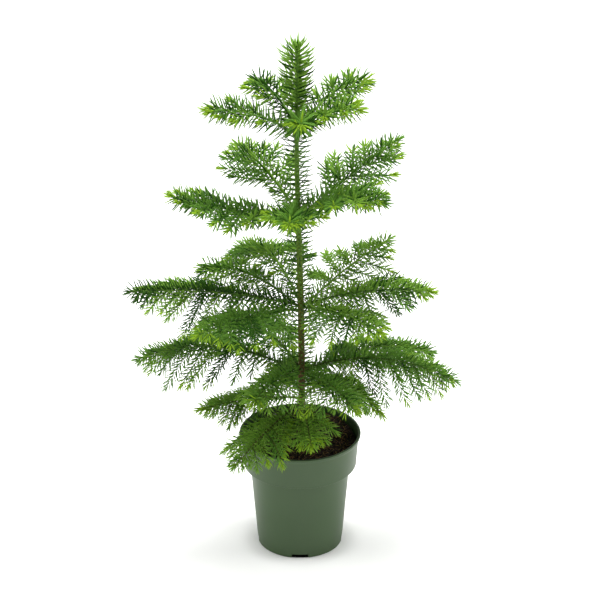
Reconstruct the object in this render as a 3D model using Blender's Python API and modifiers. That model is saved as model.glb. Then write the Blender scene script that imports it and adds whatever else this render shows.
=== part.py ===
"""Young Norfolk Island pine in a 13 cm nursery pot.

Metres, +Z up. The origin is the centre of the pot's flat underside, and -Y is the plant's front.
The trunk carries five whorls of boughs. Each bough is a short tapering limb that ends where its
frond of needles begins, and a sleeve of needles stands round the leader at the top.
"""

import math
from collections import namedtuple

import bmesh
import bpy
import numpy as np
from mathutils import Vector

# ---------------------------------------------------------------- driving dimensions (m, degrees)
PLANT = "potted_norfolk_pine"
GAP = 0.0003  # clearance left between pieces that touch

# Nursery pot: a rolled lip, a collar, a step, a tapering body and a notched foot ring
POT_HEIGHT = 0.1305
LIP_RADIUS = 0.0650
LIP_HEIGHT = 0.0032
COLLAR_TOP_RADIUS = 0.0630
COLLAR_BOTTOM_RADIUS = 0.0605
COLLAR_HEIGHT = 0.0365
BODY_TOP_RADIUS = 0.0535
BODY_BOTTOM_RADIUS = 0.0455
POT_WALL = 0.0012
FOOT_RING_WIDTH = 0.0070
FOOT_CORNER = 0.0012
FOOT_PAD_RADIUS = 0.0150
FLOOR_RISE = 0.0030
NOTCH_WIDTH = 0.0200
NOTCH_COUNT = 4
DRAIN_HOLE_RADIUS = 0.0045
DRAIN_HOLE_CIRCLE = 0.0270
POT_STEPS = 48

# Potting soil: higher towards the trunk and at the back
SOIL_TOP = 0.1190
SOIL_MOUND = 0.0040
SOIL_BACK_RISE = 0.0085
SOIL_STEPS = 24

# Trunk: a flared foot on the soil, a slight lean to the left and a long slow taper
TRUNK_TIP_HEIGHT = 0.5720
TRUNK_FOOT_X = 0.0015
TRUNK_TIP_X = -0.0035
TRUNK_BOW = 0.0012
TRUNK_FOOT_RADIUS = 0.0036
TRUNK_TIP_RADIUS = 0.0015
TRUNK_TAPER = 1.7  # 1 tapers evenly, and more keeps the lower trunk stout
FLARE_RADIUS = 0.0022
FLARE_HEIGHT = 0.0080
TRUNK_POINTS = 22

# Leader: needles standing round the top of the trunk
LEADER_BOTTOM = 0.5000
LEADER_TOP = 0.5810
LEADER_RADIUS = 0.0190
LEADER_RINGS = 8
LEADER_STEPS = 10

# Boughs and fronds
LIMB_BASE_RADIUS = 0.0015
LIMB_END_RADIUS = 0.0010
LIMB_POINTS = 4
ROOT_STAGGER = 0.0023  # neighbouring boughs leave the trunk this far above and below its whorl
FROND_START = 0.0240  # distance from the trunk's axis at which a frond begins
FROND_RINGS = 11
BRANCHLET_ANGLE = 58.0  # between a bough and its side branchlets
NOTCH_DEPTH = 0.34  # how far the frond's edge steps in between two lobes
SHAPE_SEED = 5

Bough = namedtuple("Bough", "side azimuth reach rise arch half_width")
Whorl = namedtuple("Whorl", "name height half_depth droop boughs")

# side, azimuth (0 right, 90 back), reach, rise of the tip, arch over the chord, half width of frond;
# the boughs of a whorl are listed in order round the trunk
WHORLS = (
    Whorl("whorl_1", 0.476, 0.0100, 0.05, (
        Bough("front_right", -31, 0.083, 0.041, 0.010, 0.018),
        Bough("back_right", 35, 0.099, 0.032, 0.020, 0.020),
        Bough("back_left", 125, 0.086, 0.026, 0.018, 0.022),
        Bough("left", 178, 0.101, 0.022, 0.011, 0.020),
        Bough("front", 276, 0.062, 0.030, 0.008, 0.016),
    )),
    Whorl("whorl_2", 0.382, 0.0090, 0.08, (
        Bough("front_right", -33, 0.113, 0.040, 0.014, 0.032),
        Bough("back_right", 35, 0.136, 0.060, 0.002, 0.042),
        Bough("back_left", 124, 0.125, 0.041, 0.010, 0.042),
        Bough("left", 192, 0.141, 0.040, -0.005, 0.032),
        Bough("front", 264, 0.098, 0.030, 0.008, 0.030),
    )),
    Whorl("whorl_3", 0.278, 0.0070, 0.12, (
        Bough("right", -8, 0.146, 0.027, 0.010, 0.044),
        Bough("back_right", 38, 0.128, 0.048, 0.006, 0.044),
        Bough("back_left", 122, 0.133, 0.008, 0.034, 0.036),
        Bough("far_left", 155, 0.126, 0.018, 0.020, 0.030),
        Bough("left", 188, 0.187, 0.030, 0.008, 0.040),
        Bough("front_left", 221, 0.148, 0.012, 0.008, 0.044),
        Bough("front_right", 312, 0.130, 0.012, 0.010, 0.044),
    )),
    Whorl("whorl_4", 0.202, 0.0065, 0.45, (
        Bough("right", -12, 0.173, 0.002, 0.023, 0.044),
        Bough("back_right", 24, 0.162, -0.012, 0.020, 0.042),
        Bough("back_left", 128, 0.146, 0.004, 0.022, 0.048),
        Bough("left", 182, 0.181, 0.014, 0.026, 0.046),
        Bough("front_left", 238, 0.104, 0.000, 0.012, 0.042),
        Bough("front_right", 302, 0.112, -0.004, 0.012, 0.044),
    )),
    Whorl("whorl_5", 0.169, 0.0055, 0.30, (
        Bough("right", 4, 0.094, -0.038, 0.036, 0.030),
        Bough("back", 98, 0.104, -0.004, 0.012, 0.038),
        Bough("left", 186, 0.116, -0.009, 0.007, 0.034),
        Bough("front_left", 233, 0.124, -0.034, 0.006, 0.036),
        Bough("front", 278, 0.080, -0.022, 0.004, 0.044),
    )),
)

PLASTIC = "matte_green_polypropylene"
PEAT = "potting_peat"
BARK = "young_bark"
NEEDLES = "pine_needles"
FINISHES = {  # base colour, roughness, metallic
    PLASTIC: ((0.115, 0.170, 0.100, 1.0), 0.55, 0.0),
    PEAT: ((0.018, 0.011, 0.007, 1.0), 0.95, 0.0),
    BARK: ((0.135, 0.085, 0.030, 1.0), 0.80, 0.0),
    NEEDLES: ((0.060, 0.165, 0.020, 1.0), 0.60, 0.0),
}


# ---------------------------------------------------------------- scene set-up
def clear_scene():
    """Remove every object that the file opened with."""
    for old in list(bpy.data.objects):
        bpy.data.objects.remove(old, do_unlink=True)


def make_collection(name):
    """A collection linked under the scene's own."""
    group = bpy.data.collections.new(name)
    bpy.context.scene.collection.children.link(group)
    return group


def make_material(name):
    """A Principled material from its row in FINISHES."""
    colour, roughness, metallic = FINISHES[name]
    material = bpy.data.materials.new(name)
    material.use_nodes = True
    shader = material.node_tree.nodes["Principled BSDF"]
    shader.inputs["Base Color"].default_value = colour
    shader.inputs["Roughness"].default_value = roughness
    shader.inputs["Metallic"].default_value = metallic
    material.diffuse_color = colour
    return material


def add_object(name, data, group, material=None):
    """A named object of this data in a collection."""
    piece = bpy.data.objects.new(name, data)
    group.objects.link(piece)
    if material:
        data.materials.append(material)
    return piece


# ---------------------------------------------------------------- shapes
def turned_piece(name, profile, group, material, steps):
    """A solid turned about Z from a profile of (radius, height) that runs down its outer side."""
    mesh = bpy.data.meshes.new(name)
    points = [(radius, 0.0, height) for radius, height in profile]
    mesh.from_pydata(points, [(i, i + 1) for i in range(len(points) - 1)], [])
    piece = add_object(name, mesh, group, material)
    screw = piece.modifiers.new("turn", "SCREW")
    screw.axis = "Z"
    screw.steps = steps
    screw.render_steps = steps
    screw.use_merge_vertices = True
    screw.merge_threshold = 0.00001
    screw.use_smooth_shade = False
    return piece


def loft(name, rings, group, material, start=None, end=None):
    """A closed skin over a run of rings, each end closed by a flat face or drawn to a point."""
    skin = bmesh.new()
    rows = [[skin.verts.new(point) for point in ring] for ring in rings]
    count = len(rows[0])
    for lower, upper in zip(rows, rows[1:]):
        for i in range(count):
            j = (i + 1) % count
            skin.faces.new((lower[i], lower[j], upper[j], upper[i]))
    for row, pole in ((rows[0], start), (rows[-1], end)):
        if pole is None:
            skin.faces.new(row)
            continue
        tip = skin.verts.new(pole)
        for i in range(count):
            skin.faces.new((row[i], row[(i + 1) % count], tip))
    bmesh.ops.recalc_face_normals(skin, faces=skin.faces)
    mesh = bpy.data.meshes.new(name)
    skin.to_mesh(mesh)
    skin.free()
    return add_object(name, mesh, group, material)


def tapered_limb(name, points, radii, group, material):
    """A round limb along a line of points, each with its own radius."""
    line = bpy.data.curves.new(name, "CURVE")
    line.dimensions = "3D"
    line.bevel_depth = 1.0
    line.bevel_resolution = 2
    line.use_fill_caps = True
    spline = line.splines.new("POLY")
    spline.points.add(len(points) - 1)
    for spot, point, radius in zip(spline.points, points, radii):
        spot.co = (*point, 1.0)
        spot.radius = radius
    return add_object(name, line, group, material)


# ---------------------------------------------------------------- pot and soil
def body_radius(height):
    """Outer radius of the pot's body below the collar."""
    share = height / (POT_HEIGHT - COLLAR_HEIGHT)
    return BODY_BOTTOM_RADIUS + (BODY_TOP_RADIUS - BODY_BOTTOM_RADIUS) * share


def pot_profile():
    """Outer side from the lip to the foot, the underside, then up the inside to the lip again."""
    step = POT_HEIGHT - COLLAR_HEIGHT
    lip_bottom = POT_HEIGHT - LIP_HEIGHT
    floor_top = FLOOR_RISE + POT_WALL
    foot_inner = body_radius(0.0) - FOOT_RING_WIDTH
    outside = [
        (LIP_RADIUS - 0.0012, POT_HEIGHT),
        (LIP_RADIUS, POT_HEIGHT - 0.0010),
        (LIP_RADIUS, lip_bottom + 0.0006),
        (COLLAR_TOP_RADIUS, lip_bottom),
        (COLLAR_BOTTOM_RADIUS, step + 0.0010),
        (COLLAR_BOTTOM_RADIUS - 0.0008, step),
        (body_radius(step), step),
        (body_radius(FOOT_CORNER), FOOT_CORNER),
        (body_radius(0.0) - FOOT_CORNER, 0.0),
    ]
    underside = [
        (foot_inner, 0.0),
        (foot_inner - 0.0010, FLOOR_RISE),
        (FOOT_PAD_RADIUS + 0.0010, FLOOR_RISE),
        (FOOT_PAD_RADIUS, 0.0),
        (0.0, 0.0),
    ]
    inside = [
        (0.0, floor_top),
        (body_radius(floor_top) - POT_WALL, floor_top),
        (body_radius(step) - POT_WALL, step + POT_WALL),
        (COLLAR_BOTTOM_RADIUS - POT_WALL, step + POT_WALL),
        (COLLAR_TOP_RADIUS - POT_WALL, lip_bottom),
        (LIP_RADIUS - 0.0026, POT_HEIGHT),
    ]
    profile = outside + underside + inside
    return profile + profile[:1]


def cutter_box(name, centre, size, turn, group):
    """A box cutter turned about Z."""
    block = bmesh.new()
    bmesh.ops.create_cube(block, size=1.0)
    mesh = bpy.data.meshes.new(name)
    block.to_mesh(mesh)
    block.free()
    cutter = add_object(name, mesh, group)
    cutter.scale = size
    cutter.rotation_euler.z = turn
    cutter.location = centre
    return cutter


def cutter_pin(name, centre, radius, height, group):
    """A round cutter standing on Z."""
    pin = bmesh.new()
    bmesh.ops.create_cone(pin, cap_ends=True, segments=16, radius1=radius, radius2=radius, depth=height)
    mesh = bpy.data.meshes.new(name)
    pin.to_mesh(mesh)
    pin.free()
    cutter = add_object(name, mesh, group)
    cutter.location = centre
    return cutter


def cut(piece, cutter):
    """Take a cutter away from a piece, and keep the cutter out of sight."""
    change = piece.modifiers.new(cutter.name, "BOOLEAN")
    change.operation = "DIFFERENCE"
    change.object = cutter
    cutter.hide_render = True
    cutter.display_type = "WIRE"


def make_pot(group, cutters, material):
    """The turned pot, its foot ring notched for drainage, and a drain hole behind each notch."""
    pot = turned_piece("pot", pot_profile(), group, material, POT_STEPS)
    ring_middle = body_radius(0.0) - FOOT_RING_WIDTH / 2
    for i in range(NOTCH_COUNT):
        turn = math.radians(-90 + 360 * i / NOTCH_COUNT)
        out = Vector((math.cos(turn), math.sin(turn), 0.0))
        size = (FOOT_RING_WIDTH * 2, NOTCH_WIDTH, FLOOR_RISE * 2)
        cut(pot, cutter_box(f"notch_{i + 1}", out * ring_middle, size, turn, cutters))
        spot = out * DRAIN_HOLE_CIRCLE + Vector((0.0, 0.0, FLOOR_RISE))
        cut(pot, cutter_pin(f"drain_{i + 1}", spot, DRAIN_HOLE_RADIUS, 0.01, cutters))
    return pot


def soil_height(x, y):
    """Height of the soil: a mound at the trunk, a rise to the back and a slight unevenness."""
    edge = LIP_RADIUS
    mound = SOIL_MOUND * max(0.0, 1 - math.hypot(x, y) / edge)
    back = SOIL_BACK_RISE * max(0.0, y / edge)
    rough = 0.0007 * math.sin(x * 190 + 1.0) * math.cos(y * 150)
    return SOIL_TOP + mound + back + rough


def make_soil(group, material):
    """Soil that fills the pot from its floor to an uneven top."""
    step = POT_HEIGHT - COLLAR_HEIGHT
    floor = FLOOR_RISE + POT_WALL + GAP
    inset = POT_WALL + 2 * GAP
    turns = [2 * math.pi * i / SOIL_STEPS for i in range(SOIL_STEPS)]
    side = (
        (body_radius(floor) - inset, floor),
        (body_radius(step) - inset, step + POT_WALL),
        (body_radius(step) - inset, step + POT_WALL + GAP),
        (COLLAR_BOTTOM_RADIUS - inset, step + POT_WALL + GAP),
    )
    rings = [[(r * math.cos(a), r * math.sin(a), z) for a in turns] for r, z in side]
    top_radius = COLLAR_BOTTOM_RADIUS - inset
    for share in (1.0, 0.75, 0.5, 0.25):
        ring = []
        for a in turns:
            x = top_radius * share * math.cos(a)
            y = top_radius * share * math.sin(a)
            ring.append((x, y, soil_height(x, y)))
        rings.append(ring)
    return loft("soil", rings, group, material, end=(0.0, 0.0, soil_height(0.0, 0.0)))


# ---------------------------------------------------------------- trunk and leader
TRUNK_FOOT_HEIGHT = soil_height(0.0, 0.0) + 2 * GAP


def trunk_axis(height):
    """Centre of the trunk at a height: a lean to the left with one slow bow."""
    share = (height - TRUNK_FOOT_HEIGHT) / (TRUNK_TIP_HEIGHT - TRUNK_FOOT_HEIGHT)
    x = TRUNK_FOOT_X + (TRUNK_TIP_X - TRUNK_FOOT_X) * share
    return Vector((x + TRUNK_BOW * math.sin(2 * math.pi * share), 0.0, height))


def trunk_radius(height):
    """Radius of the trunk at a height: a taper that quickens upwards plus the flare at its foot."""
    rise = height - TRUNK_FOOT_HEIGHT
    share = rise / (TRUNK_TIP_HEIGHT - TRUNK_FOOT_HEIGHT)
    taper = TRUNK_FOOT_RADIUS + (TRUNK_TIP_RADIUS - TRUNK_FOOT_RADIUS) * max(share, 0.0) ** TRUNK_TAPER
    return taper + FLARE_RADIUS * math.exp(-rise / FLARE_HEIGHT)


def make_trunk(group, material):
    """One whole stem from its flat foot to its tip, with closer points in the flare."""
    span = TRUNK_TIP_HEIGHT - TRUNK_FOOT_HEIGHT
    heights = [TRUNK_FOOT_HEIGHT + span * (i / (TRUNK_POINTS - 1)) ** 1.7 for i in range(TRUNK_POINTS)]
    points = [trunk_axis(z) for z in heights]
    return tapered_limb("trunk", points, [trunk_radius(z) for z in heights], group, material)


def make_leader(group, material):
    """A sleeve of needles round the top of the trunk, closed over its tip."""
    chance = np.random.default_rng(SHAPE_SEED)
    turns = [2 * math.pi * i / LEADER_STEPS for i in range(LEADER_STEPS)]
    span = LEADER_TOP - LEADER_BOTTOM

    def ring(height, radii):
        centre = trunk_axis(height)
        return [centre + Vector((r * math.cos(a), r * math.sin(a), 0.0)) for r, a in zip(radii, turns)]

    bore_top = TRUNK_TIP_HEIGHT + GAP
    rings = []
    for height in (bore_top, LEADER_BOTTOM + span * 0.5, LEADER_BOTTOM):
        bore = trunk_radius(height) / math.cos(math.pi / LEADER_STEPS) + GAP
        rings.append(ring(height, [bore] * LEADER_STEPS))
    for i in range(LEADER_RINGS):
        share = i / LEADER_RINGS
        swell = LEADER_RADIUS * (0.72 + 0.28 * math.sin(math.pi * min(1.0, share * 1.25)))
        swell *= math.sqrt(1.0 - share ** 5)
        rings.append(ring(LEADER_BOTTOM + span * share, swell * chance.uniform(0.86, 1.0, LEADER_STEPS)))
    top = trunk_axis(LEADER_TOP)
    return loft("leader_needles", rings, group, material, trunk_axis(bore_top + GAP), top)


# ---------------------------------------------------------------- boughs and fronds
def root_height(whorl, bough):
    """Height at which a bough leaves the trunk: turn about above and below the whorl's middle."""
    place = whorl.boughs.index(bough)
    last_of_odd = place == len(whorl.boughs) - 1 and place % 2 == 0
    return whorl.height + (0.0 if last_of_odd else ROOT_STAGGER * (-1) ** place)


def bough_point(whorl, bough, share):
    """Point at a share of a bough's reach: a straight run to its tip, bowed up by its arch."""
    turn = math.radians(bough.azimuth)
    out = bough.reach * share
    tip_height = whorl.height + bough.rise
    root = root_height(whorl, bough)
    lift = (tip_height - root) * share + 4 * bough.arch * share * (1 - share)
    return trunk_axis(root) + Vector((out * math.cos(turn), out * math.sin(turn), lift))


def bough_direction(whorl, bough, share):
    """Unit vector along a bough at a share of its reach."""
    step = 0.001
    return (bough_point(whorl, bough, share + step) - bough_point(whorl, bough, share)).normalized()


def make_limb(whorl, bough, group, material):
    """The bare start of a bough, from the trunk's side to the start of its frond."""
    slope = abs(bough_direction(whorl, bough, 0.0).z)
    start = trunk_radius(whorl.height) + GAP + LIMB_BASE_RADIUS * slope
    shares = np.linspace(start, FROND_START - GAP, LIMB_POINTS) / bough.reach
    points = [bough_point(whorl, bough, share) for share in shares]
    radii = np.linspace(LIMB_BASE_RADIUS, LIMB_END_RADIUS, LIMB_POINTS)
    return tapered_limb(f"{whorl.name}_{bough.side}_bough", points, radii, group, material)


def side_room(whorl, bough, direction):
    """Half the angle to the next bough of the whorl on one side (+1 or -1)."""
    turns = [(direction * (other.azimuth - bough.azimuth)) % 360 for other in whorl.boughs]
    nearest = min(turn for turn in turns if turn > 0)
    return math.radians(min(nearest / 2, 60.0))


def frond_half_width(whorl, bough, share, direction, lobe):
    """Half width on one side: widest near the middle, and kept short of the neighbouring frond."""
    swell = math.sin(math.pi * share ** 0.8) ** 0.8
    width = whorl.half_depth + (bough.half_width - whorl.half_depth) * swell * lobe
    out = FROND_START + (bough.reach - FROND_START) * share
    room = out * math.sin(side_room(whorl, bough, direction)) - 2 * GAP
    return min(width, room)


def make_frond(whorl, bough, group, material, chance):
    """A thin lobed pad of needles along a bough, its edges swept forward and hanging a little."""
    forward_share = 1 / math.tan(math.radians(BRANCHLET_ANGLE))
    first = FROND_START / bough.reach
    section = ((1.0, 0.0), (0.55, 0.85), (0.0, 1.0), (-0.55, 0.85),
               (-1.0, 0.0), (-0.55, -0.85), (0.0, -1.0), (0.55, -0.85))
    rings = []
    for i in range(FROND_RINGS):
        share = i / FROND_RINGS
        along = first + (1 - first) * share
        centre = bough_point(whorl, bough, along)
        ahead = bough_direction(whorl, bough, along)
        across = Vector((0.0, 0.0, 1.0)).cross(ahead).normalized()
        above = ahead.cross(across)
        step_in = 1.0 - NOTCH_DEPTH * (i % 2)
        lobes = step_in * chance.uniform(0.85, 1.0, 2)
        depth = whorl.half_depth * chance.uniform(0.85, 1.0)
        if i == 0:
            widths = (whorl.half_depth * 0.8,) * 2
            depth *= 0.6
        else:
            widths = [frond_half_width(whorl, bough, share, side, lobe)
                      for side, lobe in zip((1, -1), lobes)]
        ring = []
        for s, h in section:
            width = widths[0] if s > 0 else widths[1]
            sweep = abs(s) * width * forward_share * (i > 0) * (1 - share)
            hang = whorl.droop * width * s * s * (i > 0)
            point = centre + across * (s * width) + ahead * sweep + above * (h * depth)
            ring.append(point - Vector((0.0, 0.0, hang)))
        rings.append(ring)
    tip = bough_point(whorl, bough, 1.0)
    return loft(f"{whorl.name}_{bough.side}_needles", rings, group, material, end=tip)


# ---------------------------------------------------------------- the plant
def main():
    """Build every piece in its place."""
    clear_scene()
    pieces = make_collection(PLANT)
    cutters = make_collection("cutters")
    finish = {name: make_material(name) for name in FINISHES}
    chance = np.random.default_rng(SHAPE_SEED)
    make_pot(pieces, cutters, finish[PLASTIC])
    make_soil(pieces, finish[PEAT])
    make_trunk(pieces, finish[BARK])
    make_leader(pieces, finish[NEEDLES])
    for whorl in WHORLS:
        for bough in whorl.boughs:
            make_limb(whorl, bough, pieces, finish[BARK])
            make_frond(whorl, bough, pieces, finish[NEEDLES], chance)


main()
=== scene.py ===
# %% [markdown]
# # A young Norfolk Island pine in its nursery pot
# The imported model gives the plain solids: a pot, the soil, a trunk, and for each bough a short
# limb and a thin pad of needles. This lesson grows the real surfaces over them. The pads are
# read as outlines, shoots are grown inside those outlines, and needles are set on the shoots.
# Everything is in metres, in the model's own frame, so nothing has to be fitted afterwards.

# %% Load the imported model
import math
from collections import namedtuple

import bpy
import numpy as np
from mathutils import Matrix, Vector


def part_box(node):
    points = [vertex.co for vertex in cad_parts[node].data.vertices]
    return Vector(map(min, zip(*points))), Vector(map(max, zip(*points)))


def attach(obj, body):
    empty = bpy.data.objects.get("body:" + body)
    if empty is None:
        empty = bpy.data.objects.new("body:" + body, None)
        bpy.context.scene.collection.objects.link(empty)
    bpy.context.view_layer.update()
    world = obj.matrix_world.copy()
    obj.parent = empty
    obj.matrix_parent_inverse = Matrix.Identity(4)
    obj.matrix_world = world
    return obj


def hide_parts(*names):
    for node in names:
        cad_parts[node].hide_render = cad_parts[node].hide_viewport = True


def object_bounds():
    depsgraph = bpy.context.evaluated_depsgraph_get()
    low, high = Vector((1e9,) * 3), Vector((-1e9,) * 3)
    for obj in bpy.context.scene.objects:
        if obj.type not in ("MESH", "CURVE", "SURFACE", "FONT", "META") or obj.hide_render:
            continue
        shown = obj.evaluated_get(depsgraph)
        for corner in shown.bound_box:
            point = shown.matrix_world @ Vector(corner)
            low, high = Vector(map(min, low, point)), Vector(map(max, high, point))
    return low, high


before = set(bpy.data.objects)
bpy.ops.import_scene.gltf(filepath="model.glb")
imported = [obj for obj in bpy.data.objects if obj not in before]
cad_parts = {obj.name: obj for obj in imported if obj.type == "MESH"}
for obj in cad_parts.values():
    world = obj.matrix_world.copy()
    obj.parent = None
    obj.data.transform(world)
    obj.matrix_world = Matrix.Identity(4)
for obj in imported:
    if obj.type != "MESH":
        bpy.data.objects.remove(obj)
CAD_LOW, CAD_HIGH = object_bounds()
MM = 0.001
UP = np.array([0.0, 0.0, 1.0])
chance = np.random.default_rng(11)
print("nodes", len(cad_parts), "size", [round(side, 4) for side in CAD_HIGH - CAD_LOW])

# %% [markdown]
# ## Camera, floor and light
# The plant stands on a white table, as in a grower's catalogue. The camera looks down on it from
# well back with a long lens, so that the pot's rim shows as an ellipse and the trunk stays
# upright. A white world lights it from all round, and three large lamps above and beside it make the
# tops of the boughs brighter than their undersides.

# %% Camera
CAMERA_BACK = 2.6
CAMERA_HEIGHT = 1.542
CAMERA_TILT = math.radians(90.0 - 25.77)
LENS = 165.54


def add_camera():
    """A camera on the -Y side, tipped down towards the plant."""
    data = bpy.data.cameras.new("catalogue_camera")
    data.lens = LENS
    data.clip_end = 50.0
    camera = bpy.data.objects.new("catalogue_camera", data)
    camera.location = (0.0, -CAMERA_BACK, CAMERA_HEIGHT)
    camera.rotation_euler = (CAMERA_TILT, 0.0, 0.0)
    bpy.context.scene.collection.objects.link(camera)
    return camera


bpy.context.scene.camera = add_camera()
print("camera", [round(value, 3) for value in bpy.context.scene.camera.location])

# %% [markdown]
# ## Colours and nodes
# Colours are written as sRGB hex values, the way a colour picker gives them. Blender's shaders
# work with linear light, so one function turns them. Another adds a node, sets it and links it.

# %% Colour and node helpers


def linear(hex_colour):
    """Linear RGBA of an sRGB hex colour: c / 12.92 when dark, else ((c + 0.055) / 1.055) ** 2.4."""
    channels = np.array([int(hex_colour[i:i + 2], 16) for i in (1, 3, 5)]) / 255.0
    bright = ((channels + 0.055) / 1.055) ** 2.4
    return (*np.where(channels <= 0.04045, channels / 12.92, bright).tolist(), 1.0)


def add_node(tree, kind, settings=(), links=()):
    """One shader node: its properties or input values are set, then its inputs are linked."""
    node = tree.nodes.new("ShaderNode" + kind)
    for name, value in dict(settings).items():
        if name == "ramp":
            while len(node.color_ramp.elements) < len(value):
                node.color_ramp.elements.new(1.0)
            for stop, (place, colour) in zip(node.color_ramp.elements, value):
                stop.position = place
                stop.color = linear(colour)
        elif isinstance(name, str) and hasattr(node, name):
            setattr(node, name, value)
        else:
            node.inputs[name].default_value = value
    for name, socket in dict(links).items():
        tree.links.new(socket, node.inputs[name])
    return node


def new_material(name, colour, roughness, specular=0.5):
    """A material with one Principled shader, returned with its node tree and the shader."""
    material = bpy.data.materials.new(name)
    material.use_nodes = True
    shader = material.node_tree.nodes["Principled BSDF"]
    shader.inputs["Base Color"].default_value = linear(colour)
    shader.inputs["Roughness"].default_value = roughness
    shader.inputs["Specular IOR Level"].default_value = specular
    material.diffuse_color = linear(colour)
    return material, material.node_tree, shader


print("white is", linear("#ffffff"))

# %% [markdown]
# ## Studio
# The floor is a wide sheet of white acrylic that glows a little. The glow is painted light, as no lamp
# lights it. The lamps are large next to the plant, so the only shadow is the soft one where the pot
# meets the floor: partly cast by the lamps, and partly a painted shadow where the glow fades out.

# %% Floor and lamps
FLOOR_HALF = 9.0
WORLD_STRENGTH = 0.55
# Painted light: the floor glows by this strength, though it is no lamp.
PAINTED_FLOOR_GLOW = 0.25
# Painted shadow: near the pot the glow fades out, which paints the soft contact shadow round its foot.
PAINTED_SHADOW_FADE = (0.0455, 0.066)  # metres from the pot's middle where the glow starts and where it is full
PAINTED_SHADE_DISC_EDGE = (0.0435, 0.0445)  # metres from the pot's middle where the black disc of painted shade under it ends
# Painted shade: a black disc under the pot stands where there is only shade, so the notches look dark.
PAINTED_SHADE_BLACK = "#0c0b0a"
ACRYLIC_WHITE = "#f6f6f5"
LAMPS = (  # name, place, size, power in watts
    ("softbox_left", (-1.9, -0.2, 1.3), 1.4, 23.0),
    ("softbox_right", (1.9, 0.0, 1.3), 1.4, 25.0),
    ("softbox_top", (0.0, 0.35, 2.6), 1.1, 74.0),
)


def add_lamp(name, place, size, power):
    """A square area lamp that faces the middle of the plant."""
    data = bpy.data.lights.new(name, "AREA")
    data.size = size
    data.energy = power
    lamp = bpy.data.objects.new(name, data)
    lamp.location = place
    aim = np.array([0.0, 0.0, CAD_HIGH.z / 2]) - np.array(place)
    lamp.rotation_euler = (math.atan2(math.hypot(aim[0], aim[1]), -aim[2]), 0.0,
                           math.atan2(aim[1], aim[0]) - math.pi / 2)
    bpy.context.scene.collection.objects.link(lamp)
    return lamp


def add_floor():
    """A wide square of white acrylic that glows a little: painted light that lifts the floor's shadows
    and lights the plant from below. The glow fades out towards the pot as a painted contact shadow, and a
    black disc of painted shade lies under the pot, so the pot keeps a dark contact with the floor and its
    notches look into the dark."""
    mesh = bpy.data.meshes.new("floor")
    corners = [(-FLOOR_HALF, -FLOOR_HALF, 0.0), (FLOOR_HALF, -FLOOR_HALF, 0.0),
               (FLOOR_HALF, FLOOR_HALF, 0.0), (-FLOOR_HALF, FLOOR_HALF, 0.0)]
    mesh.from_pydata(corners, [], [(0, 1, 2, 3)])
    floor = bpy.data.objects.new("floor", mesh)
    acrylic, tree, shader = new_material("white_acrylic_painted_glow_and_shade", ACRYLIC_WHITE, 0.9, 0.2)
    coords = add_node(tree, "TexCoord").outputs["Object"]
    away = add_node(tree, "VectorMath", {"operation": "LENGTH"}, {0: coords})
    # Painted light and painted shadow: the glow is zero near the pot and full further out.
    painted_glow_range = {"From Min": PAINTED_SHADOW_FADE[0], "From Max": PAINTED_SHADOW_FADE[1], "To Min": 0.0, "To Max": PAINTED_FLOOR_GLOW}
    glow = add_node(tree, "MapRange", painted_glow_range, {"Value": away.outputs["Value"]})
    # Painted shade: the floor's base colour is black inside the disc under the pot.
    past_shade_disc = add_node(tree, "MapRange", {"From Min": PAINTED_SHADE_DISC_EDGE[0], "From Max": PAINTED_SHADE_DISC_EDGE[1]},
                        {"Value": away.outputs["Value"]})
    shade_disc_colour = add_node(tree, "ValToRGB", {"ramp": [(0.0, PAINTED_SHADE_BLACK), (1.0, ACRYLIC_WHITE)]},
                   {0: past_shade_disc.outputs["Result"]})
    shader.inputs["Emission Color"].default_value = linear("#ffffff")
    tree.links.new(shade_disc_colour.outputs[0], shader.inputs["Base Color"])
    tree.links.new(glow.outputs["Result"], shader.inputs["Emission Strength"])
    mesh.materials.append(acrylic)
    bpy.context.scene.collection.objects.link(floor)


def light_world():
    """A white world that is a little dimmer on the camera's side. Its strength follows Y."""
    world = bpy.data.worlds.new("white_studio")
    world.use_nodes = True
    bpy.context.scene.world = world
    tree = world.node_tree
    tree.nodes.clear()
    coords = add_node(tree, "TexCoord")
    split = add_node(tree, "SeparateXYZ", {}, {0: coords.outputs["Generated"]})
    side = add_node(tree, "MapRange", {"From Min": -1.0, "From Max": 0.2, "To Min": 0.75, "To Max": 1.0},
                    {"Value": split.outputs["Y"]})
    strength = add_node(tree, "Math", {"operation": "MULTIPLY", 1: WORLD_STRENGTH},
                        {0: side.outputs["Result"]})
    glow = add_node(tree, "Background", {"Color": linear("#ffffff")}, {"Strength": strength.outputs[0]})
    add_node(tree, "OutputWorld", {}, {"Surface": glow.outputs[0]})


bpy.context.scene.view_settings.view_transform = "Standard"
add_floor()
light_world()
for lamp_row in LAMPS:
    add_lamp(*lamp_row)
print("lamps", [row[0] for row in LAMPS])

# %% [markdown]
# ## From arrays to meshes
# Every surface below is worked out as a numpy array. Two ways cover all of them: a grid of
# points, for the pot and the soil, and a skin carried along a path, for stems and needles.
# The skin function takes thousands of paths at once, so no loop over vertices is needed.

# %% Mesh helpers


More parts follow.
